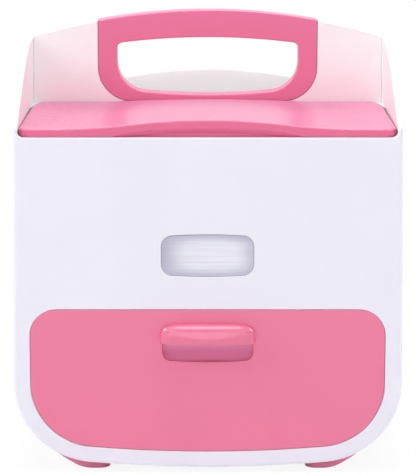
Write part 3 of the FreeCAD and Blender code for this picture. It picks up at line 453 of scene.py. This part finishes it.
finishes = {
    "shellWhite": {"colour": fromScreen(230, 229, 240), "roughness": 0.34, "grain": 0.002,
                   "tone": paintedWingLight},
    "panelWhite": {"colour": fromScreen(243, 242, 245), "roughness": 0.34, "grain": 0.002,
                   "tone": paintedPanelLight},
    "coverWhite": {"colour": fromScreen(252, 252, 253), "roughness": 0.36, "grain": 0.003,
                   "through": coverThrough,
                   "throughSockets": {"Subsurface Weight": 1.0, "Subsurface Scale": 1.0,
                                      "Subsurface Radius": (0.06, 0.06, 0.06)}},
    "tubWhite": {"colour": fromScreen(236, 234, 243), "roughness": 0.42, "grain": 0.003,
                 "relief": ejectorMarks},
    "handlePink": {"colour": fromScreen(228, 127, 165), "roughness": 0.3, "grain": 0.001,
                   "sockets": {"IOR": 1.22}},
    "lidPink": {"colour": fromScreen(223, 98, 139), "roughness": 0.27, "peel": 0.003,
                "grain": 0.001, "tone": paintedScoopLight,
                "sockets": {"IOR": 1.52, "Sheen Weight": 0.52, "Sheen Roughness": 0.35,
                            "Sheen Tint": (0.85, 0.72, 1.0, 1.0)}},
    "linerPink": {"colour": fromScreen(224, 108, 146), "roughness": 0.3, "grain": 0.002,
                  "relief": ejectorMarks},
    "frontPink": {"colour": fromScreen(230, 119, 153), "roughness": 0.3, "grain": 0.001,
                  "tone": paintedRecessLight},
    "hoodPink": {"colour": fromScreen(223, 105, 142), "roughness": 0.27, "peel": 0.003,
                 "grain": 0.001, "sockets": {"IOR": 1.42, "Coat Weight": 1.0,
                                             "Coat Roughness": 0.19}},
    "trayPink": {"colour": fromScreen(226, 118, 150), "roughness": 0.4, "grain": 0.003,
                 "relief": ejectorMarks},
    "windowClear": {"colour": fromScreen(203, 201, 221), "drift": 0.0, "roughness": 0.22,
                    "grain": 0.001, "tone": panePaintedGlow, "alpha": paneCover},
    "footPink": {"colour": fromScreen(224, 124, 156), "roughness": 0.55, "grain": 0.004,
                 "relief": soleTread},
    "sealClear": {"colour": fromScreen(236, 232, 238), "roughness": 0.45, "peel": 0.003,
                  "grain": 0.002, "sockets": {"Subsurface Weight": 0.3, "Subsurface Scale": 1.0,
                                              "Subsurface Radius": (0.004, 0.003, 0.003)}},
    "screwSteel": {"colour": (0.62, 0.62, 0.64, 1.0), "roughness": 0.32, "drift": 0.05,
                   "driftScale": 400.0, "peel": 0.002, "grain": 0.008,
                   "sockets": {"Metallic": 1.0}},
    "pinSteel": {"colour": (0.60, 0.60, 0.61, 1.0), "roughness": 0.26, "drift": 0.03,
                 "driftScale": 120.0, "peel": 0.001, "grain": 0.004, "relief": turningMarks,
                 "sockets": {"Metallic": 1.0}},
}
materials = {name: plastic(name, settings) for name, settings in finishes.items()}

# the nodes that are shown as they are
nodeFinish = {
    "outer_shell": "shellWhite", "rear_cover": "coverWhite", "storage_tub": "tubWhite",
    "window_pane": "windowClear", "lid_liner": "linerPink", "drawer_tray": "trayPink",
    "handle_grip_front": "handlePink", "handle_grip_rear": "handlePink",
    "hinge_pin_left": "pinSteel", "hinge_pin_right": "pinSteel",
    "foot_front_left": "footPink", "foot_front_right": "footPink",
    "foot_rear_left": "footPink", "foot_rear_right": "footPink",
}
for nodeName, finishName in nodeFinish.items():
    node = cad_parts[nodeName]
    node.data.materials.clear()
    node.data.materials.append(materials[finishName])
print("finishes given to", len(nodeFinish), "nodes")


# Pieces made here: surfaces worked out as whole arrays

def skin(rings, closed):
    # rings (rows, columns, 3) joined into one closed skin: each ring to the next, and the last to
    # the first where closed, otherwise with a fan from each end ring to a pole in its middle
    rows, columns = rings.shape[:2]
    index = np.arange(rows * columns).reshape(rows, columns)
    first = index if closed else index[:-1]
    second = np.roll(index, -1, axis=0) if closed else index[1:]
    quads = np.stack([first, np.roll(first, -1, axis=1), np.roll(second, -1, axis=1), second],
                     axis=-1)
    points = rings.reshape(-1, 3)
    faces = quads.reshape(-1, 4).tolist()
    if not closed:
        points = np.vstack([points, rings[0].mean(axis=0), rings[-1].mean(axis=0)])
        ends = ((index[0], rows * columns, 1), (index[-1], rows * columns + 1, -1))
        for ring, pole, step in ends:
            fan = np.stack([np.roll(ring, -step), ring, np.full(columns, pole)], axis=-1)
            faces += fan.tolist()
    return points, faces


def makePiece(name, skins, finish):
    # skins is a list of (points, faces), put one after another into one mesh
    points = []
    faces = []
    for skinPoints, skinFaces in skins:
        start = sum(len(part) for part in points)
        faces += [[corner + start for corner in face] for face in skinFaces]
        points.append(skinPoints)
    mesh = bpy.data.meshes.new(name)
    mesh.from_pydata(np.vstack(points).tolist(), [], faces)
    mesh.polygons.foreach_set("use_smooth", np.ones(len(mesh.polygons), dtype=bool))
    mesh.materials.append(materials[finish])
    return linked(name, mesh)


screwSet = {
    "headRadius": 0.0028, "headHeight": 0.0018, "crown": 0.0006, "crownStart": 0.06,
    "crownRings": 15, "headEdge": 0.0004, "edgeRings": 5, "seatShare": 0.75,
    "recessReach": 0.0017, "recessHalfWidth": 0.00036, "recessDepth": 0.0011,
    "armSlope": 0.0006, "sideSlope": 0.00016, "threadRadius": 0.0013, "coreRadius": 0.00096,
    "ridgePower": 1.5, "length": 0.0070, "pitch": 0.0011, "point": 0.0018, "pointLeast": 0.04,
    "pointPower": 0.7, "shankStart": 0.02, "shankRings": 50, "columns": 48, "turnStep": 2.4,
}
screwGroups = {"cover_screws": "housing", "panel_screws": "housing", "handle_screws": "housing",
               "tray_screws": "drawer", "pull_screws": "drawer"}


def headProfile(settings):
    # radius and height from the head's middle outwards: a crown that falls with the square of the
    # radius, a rounded edge, and the underside
    headRadius = settings["headRadius"]
    flat = headRadius - settings["headEdge"]
    crownRadius = np.linspace(settings["crownStart"], 1, settings["crownRings"]) * flat
    crownHeight = settings["headHeight"] - settings["crown"] * (crownRadius / headRadius) ** 2
    sweep = np.linspace(0, np.pi / 2, settings["edgeRings"] + 1)[1:]
    edgeRadius = flat + settings["headEdge"] * np.sin(sweep)
    edgeHeight = crownHeight[-1] - settings["headEdge"] * (1 - np.cos(sweep))
    seatRadius = np.array([headRadius, headRadius * settings["seatShare"],
                           settings["threadRadius"]])
    radius = np.concatenate([crownRadius, edgeRadius, seatRadius])
    height = np.concatenate([crownHeight, edgeHeight, np.zeros(len(seatRadius))])
    return radius[:, None], height[:, None]


def recessCut(radius, angle, settings):
    # depth of the cross recess: whole inside its arms, less on the slopes at their ends and sides
    across = np.abs(radius * np.cos(angle))
    along = np.abs(radius * np.sin(angle))
    arm = np.maximum(across, along) - settings["recessReach"]
    side = np.minimum(across, along) - settings["recessHalfWidth"]
    share = -np.maximum(arm / settings["armSlope"], side / settings["sideSlope"])
    return np.clip(share, 0.0, 1.0) * settings["recessDepth"]


def shankRadius(height, angle, settings):
    # the radius rises and falls with the height plus the angle, which winds the thread, and narrows
    # to the point
    phase = (height / settings["pitch"] + angle / (2 * np.pi)) % 1.0
    ridge = (1 - np.abs(2 * phase - 1)) ** settings["ridgePower"]
    narrow = np.clip((height + settings["length"]) / settings["point"], settings["pointLeast"], 1.0)
    depth = settings["threadRadius"] - settings["coreRadius"]
    return narrow ** settings["pointPower"] * (settings["coreRadius"] + depth * ridge)


def screwRings(settings, turn):
    # rings round the screw's axis, from the head's middle over its edge and down the shank
    angle = np.linspace(0, 2 * np.pi, settings["columns"], endpoint=False)
    headRadius, headHeight = [part + 0 * angle for part in headProfile(settings)]
    crown = slice(0, settings["crownRings"])
    headHeight[crown] -= recessCut(headRadius[crown], angle, settings)
    down = np.linspace(settings["shankStart"], 1, settings["shankRings"]) * settings["length"]
    shankHeight = -down[:, None] + 0 * angle
    radius = np.vstack([headRadius, shankRadius(shankHeight, angle, settings)])
    height = np.vstack([headHeight, shankHeight])
    return np.stack([radius * np.cos(angle + turn), height, radius * np.sin(angle + turn)], axis=-1)


def screwSeats(node):
    # each screw's seat, from the boxes of the group's quarters, or halves where its screws stand in
    # one row. The axis runs along y with the head to the rear
    places = np.array([vertex.co for vertex in node.data.vertices])
    low, high = places.min(axis=0), places.max(axis=0)
    centre = (low + high) / 2
    twoRows = high[2] - low[2] > 4 * screwSet["headRadius"]  # taller than two heads
    quarter = (places[:, 0] > centre[0]) * 2 + ((places[:, 2] > centre[2]) & twoRows)
    seats = []
    for number in np.unique(quarter):
        group = places[quarter == number]
        seat = (group.min(axis=0) + group.max(axis=0)) / 2
        seat[1] = group[:, 1].max() - screwSet["headHeight"]
        seats.append(seat)
    return seats


for groupName, bodyName in screwGroups.items():
    seats = screwSeats(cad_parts[groupName])
    skins = []
    for number, seat in enumerate(seats):
        points, faces = skin(screwRings(screwSet, number * screwSet["turnStep"]), False)
        skins.append((points + seat, faces))
    screwPiece = makePiece(groupName + "_turned", skins, "screwSteel")
    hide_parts(groupName)
    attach(screwPiece, bodyName)
    print("screws made:", groupName, len(seats))


hoodSet = {
    "reach": 0.0095, "skin": 0.0024, "roundness": 2.6, "corners": 5.0, "aroundSteps": 72,
    "downSteps": 26, "postHalfWidth": 0.0025, "postHalfHeight": 0.0035, "postStart": 0.0040,
    "postEnd": 0.0102, "postCorners": 6, "postColumns": 32, "postRings": 4, "weld": 0.00001,
    "rim": 0.0005, "rimSegments": 2, "rimAngle": 50.0,
}


def squareness(angle, power):
    # how far the outline |x|^n + |z|^n = 1 lies from its middle in the direction of an angle
    return (np.abs(np.cos(angle)) ** power + np.abs(np.sin(angle)) ** power) ** (-1 / power)


def domeRings(halfWidth, height, reach, settings, flip):
    # superellipsoid dome (|x/a|^n + |z/h|^n)^(m/n) + |y/r|^m = 1, cut off below at z = 0: around it
    # goes by the angle from the left foot over the top to the right foot, and down from the wall to
    # the front by the share of the reach
    around = np.linspace(np.pi, 0, settings["aroundSteps"])[None, :]
    if flip:
        around = around[:, ::-1]
    down = np.linspace(0, np.pi / 2, settings["downSteps"])[:, None]
    roundness = settings["roundness"]
    squared = squareness(around, settings["corners"])
    forward = np.sin(down) ** (2 / roundness)
    across = np.abs(np.cos(down)) ** (2 / roundness)
    x = halfWidth * squared * np.cos(around) * across
    z = height * squared * np.sin(around) * across
    y = -reach * forward + 0 * around
    return np.stack([x, y, z], axis=-1)


def hoodSkin(low, high, wall, settings):
    # the outer dome and, a skin's thickness inside it, the inner one, run into one ring for each
    # step down, with a rim of quads between the two at the wall
    halfWidth = (high[0] - low[0]) / 2
    height = high[2] - low[2]
    thickness = settings["skin"]
    outer = domeRings(halfWidth, height, settings["reach"], settings, False)
    inner = domeRings(halfWidth - thickness, height - thickness, settings["reach"] - thickness,
                      settings, True)
    rings = np.concatenate([outer, inner], axis=1)
    rings += np.array([(low[0] + high[0]) / 2, wall, low[2]])
    rows, columns = rings.shape[:2]
    index = np.arange(rows * columns).reshape(rows, columns)
    quads = np.stack([index[:-1], index[1:], np.roll(index[1:], -1, axis=1),
                      np.roll(index[:-1], -1, axis=1)], axis=-1)
    half = columns // 2
    left = index[0, :half - 1]
    right = index[0, 1:half]
    rim = np.stack([left, right, columns - 1 - right, columns - 1 - left], axis=-1)
    return rings.reshape(-1, 3), quads.reshape(-1, 4).tolist() + rim.tolist()


def postSkin(centre, settings, wall):
    # a squared post with rounded corners, |x/a|^n + |z/b|^n = 1, along y from the hood's hollow to
    # the drawer's pad
    angle = np.linspace(0, 2 * np.pi, settings["postColumns"], endpoint=False)
    squared = squareness(angle, settings["postCorners"])
    section = np.stack([settings["postHalfWidth"] * squared * np.cos(angle), 0 * angle,
                        settings["postHalfHeight"] * squared * np.sin(angle)], axis=-1)
    steps = np.linspace(-settings["postStart"], settings["postEnd"], settings["postRings"])
    foot = np.array([centre[0], wall, centre[1]])
    rings = section[None] + foot + steps[:, None, None] * np.array([0, 1, 0])
    return skin(rings, False)


def softenEdges(thing, settings):
    # merges the doubles of a finished mesh, turns its faces outwards and rounds its sharp edges
    work = bmesh.new()
    work.from_mesh(thing.data)
    bmesh.ops.remove_doubles(work, verts=work.verts, dist=settings["weld"])
    bmesh.ops.recalc_face_normals(work, faces=work.faces)
    work.to_mesh(thing.data)
    work.free()
    bevel = thing.modifiers.new("softEdges", "BEVEL")
    bevel.width = settings["rim"]
    bevel.segments = settings["rimSegments"]
    bevel.limit_method = "ANGLE"
    bevel.angle_limit = math.radians(settings["rimAngle"])


pullLow, pullHigh = [np.array(corner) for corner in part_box("drawer_pull")]
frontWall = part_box("drawer_front")[0][1]
hoodPiece = makePiece("drawer_pull_hood", [hoodSkin(pullLow, pullHigh, frontWall, hoodSet)],
                      "hoodPink")
softenEdges(hoodPiece, hoodSet)
for side, seat in zip(("left", "right"), screwSeats(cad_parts["pull_screws"])):
    post = makePiece("drawer_pull_post_" + side,
                     [postSkin((seat[0], seat[2]), hoodSet, frontWall)], "hoodPink")
    softenEdges(post, hoodSet)
    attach(post, "drawer")
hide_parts("drawer_pull")
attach(hoodPiece, "drawer")
print("pull's hood and posts made")


# out is how far each outline is let out along x, y and z, and still is the share of its half size
# that stays as it is. The lid's letting out fades from one depth until it ends at another, as its
# rear turns past the side walls
fittedSet = {
    "drawer_front": {"out": (0.0005, 0.0, 0.0005), "still": 0.0, "finish": "frontPink",
                     "slot": "drawer_pink", "body": "drawer"},
    "handle_panel": {"out": (0.00125, 0.0, 0.0), "still": 0.7, "finish": "panelWhite",
                     "slot": "shell_white", "body": "housing"},
    "lid_panel": {"out": (0.0009, 0.0, 0.0), "still": 0.9, "finish": "lidPink",
                  "slot": "lid_pink", "body": "lid", "fade": (-0.03, 0.02)},
}


def letOut(node, name, settings):
    # a copy of a node's mesh whose outline is let out evenly, growing from none at the still share
    # of its half size to the whole amount at its edge
    mesh = node.data.copy()
    mesh.name = name
    places = np.empty(len(mesh.vertices) * 3, dtype=np.float32)
    mesh.vertices.foreach_get("co", places)
    places = places.reshape(-1, 3)
    low, high = places.min(axis=0), places.max(axis=0)
    reach = (places - (low + high) / 2) / ((high - low) / 2)
    share = np.clip((np.abs(reach) - settings["still"]) / (1 - settings["still"]), 0, 1)
    if "fade" in settings:
        start, end = settings["fade"]
        share *= 1 - np.clip((places[:, 1:2] - start) / (end - start), 0, 1)
    moved = places + np.sign(reach) * share * np.array(settings["out"])
    mesh.vertices.foreach_set("co", moved.astype(np.float32).ravel())
    mesh.update()
    mesh.materials.clear()
    return linked(name, mesh)


for nodeName, settings in fittedSet.items():
    fitted = letOut(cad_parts[nodeName], nodeName + "_fitted", settings)
    fitted.data.materials.append(materials[settings["finish"]])
    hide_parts(nodeName)
    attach(fitted, settings["body"])
    print("let out to a fine gap:", nodeName)


sealSet = {
    "width": 0.0030, "cornerRadius": 0.008, "base": 0.0015, "bead": 0.0004,
    "lipThickness": 0.0009, "lipBelly": 0.0005, "lipTaper": 0.3, "cornerSteps": 14,
    "runSteps": 24, "beadSteps": 5, "lipSteps": 9,
}


def roundedPath(low, high, settings):
    # a rounded rectangle as points and their outward directions, a quarter turn and a run at a time
    radius = settings["cornerRadius"]
    signs = np.array([[1, 1], [-1, 1], [-1, -1], [1, -1]])
    centres = np.where(signs > 0, high - radius, low + radius)
    share = np.linspace(0, 1, settings["runSteps"] + 2)[1:-1, None]
    points = []
    outward = []
    for quarter, centre in enumerate(centres):
        sweep = quarter * np.pi / 2 + np.linspace(0, np.pi / 2, settings["cornerSteps"])
        turn = np.stack([np.cos(sweep), np.sin(sweep)], axis=-1)
        corner = centre + radius * turn
        runEnd = centres[(quarter + 1) % 4] + radius * turn[-1]
        points += [corner, corner[-1] + (runEnd - corner[-1]) * share]
        outward += [turn, np.repeat(turn[-1:], settings["runSteps"], axis=0)]
    return np.vstack(points), np.vstack(outward)


def sealProfile(settings, tall):
    # depth inwards from the outline and height above the lowest point, once round: a rounded base
    # above, and below it a lip that bellies outwards and tapers to its edge
    width = settings["width"]
    bead = settings["bead"]
    thickness = settings["lipThickness"]
    taper = thickness * settings["lipTaper"]
    base = tall - settings["base"]
    quarter = np.linspace(0, np.pi / 2, settings["beadSteps"])
    sine, cosine = bead * np.sin(quarter), bead * np.cos(quarter)
    outerBead = np.stack([bead - cosine, tall - bead + sine], axis=-1)
    innerBead = np.stack([width - bead + sine, tall - bead + cosine], axis=-1)
    innerFoot = [[width, base + bead], [width - bead, base]]
    step = np.linspace(0, 1, settings["lipSteps"])
    belly = settings["lipBelly"] * np.sin(np.pi * step)
    inner = np.stack([width / 2 + thickness / 2 - belly, base * (1 - step)], axis=-1)
    outer = np.stack([width / 2 - thickness / 2 - belly, base * step], axis=-1)
    inner[-1, 0] -= taper
    outer[0, 0] += taper
    outerFoot = [[bead, base], [0.0, base + bead]]
    return np.vstack([outerBead, innerBead, innerFoot, inner, outer, outerFoot])


sealLow, sealHigh = [np.array(corner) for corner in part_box("lid_seal")]
outline, outward = roundedPath(sealLow[:2], sealHigh[:2], sealSet)
profile = sealProfile(sealSet, sealHigh[2] - sealLow[2])
level = outline[:, None, :] - outward[:, None, :] * profile[None, :, :1]
rise = np.broadcast_to(sealLow[2] + profile[None, :, 1:], (*level.shape[:2], 1))
sealSkin = skin(np.concatenate([level, rise], axis=-1), True)
sealPiece = makePiece("lid_seal_lip", [sealSkin], "sealClear")
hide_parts("lid_seal")
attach(sealPiece, "lid")
print("lid seal made")
